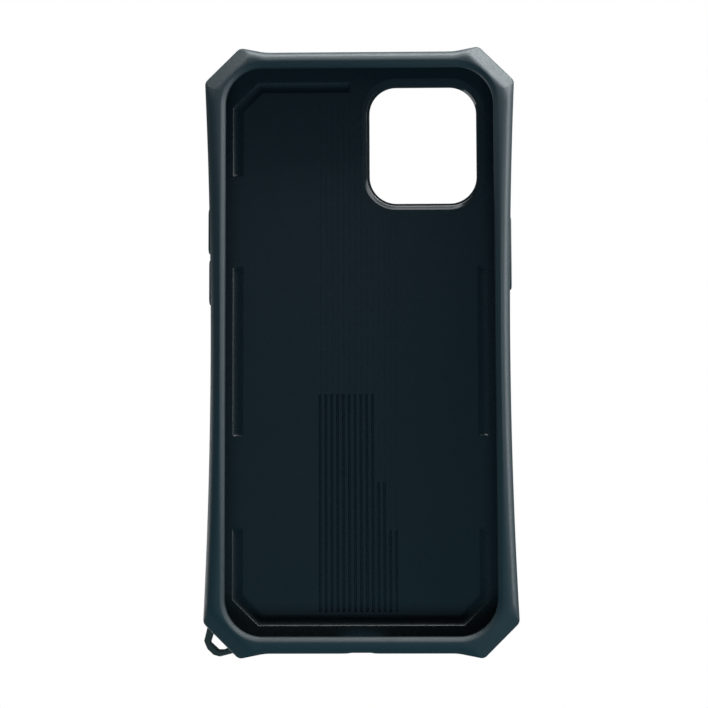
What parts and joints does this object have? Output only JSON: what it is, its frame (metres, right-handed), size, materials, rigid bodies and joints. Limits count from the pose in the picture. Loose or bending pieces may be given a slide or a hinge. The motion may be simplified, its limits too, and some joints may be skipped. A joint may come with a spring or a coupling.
{
  "type": "phone case",
  "caption": "Rugged phone case with a soft waisted frame, flared corners, hard back plate, camera window, sprung side buttons and a lanyard loop.",
  "frame": {"origin": "middle of the case, on the surface that its back rests on", "axes": "+Y towards the top edge at the camera end, +Z out of the screen opening, +X to the right seen from the screen side"},
  "size_m": [0.0791, 0.1542, 0.012],
  "materials": {
    "soft_frame": "matte, fine moulded grain",
    "hard_plate": "satin gloss",
    "gloss_guard": "polished",
    "loop_plastic": "satin",
    "button_plastic": "matte"
  },
  "bodies": {
    "case": {"bumper_frame": "soft_frame", "back_plate": "hard_plate", "camera_guard": "gloss_guard", "lanyard_loop": "loop_plastic"},
    "volume_up": {"volume_up_button": "button_plastic"},
    "volume_down": {"volume_down_button": "button_plastic"},
    "side_key": {"side_button": "button_plastic"}
  },
  "joints": [
    {"name": "volume_up_press", "type": "slide", "parent": "case", "child": "volume_up", "axis": [1, 0, 0], "range_m": [0, 0.00045], "stiffness_N_per_m": 5000},
    {"name": "volume_down_press", "type": "slide", "parent": "case", "child": "volume_down", "axis": [1, 0, 0], "range_m": [0, 0.00045], "stiffness_N_per_m": 5000},
    {"name": "side_button_press", "type": "slide", "parent": "case", "child": "side_key", "axis": [-1, 0, 0], "range_m": [0, 0.00045], "stiffness_N_per_m": 5000}
  ]
}
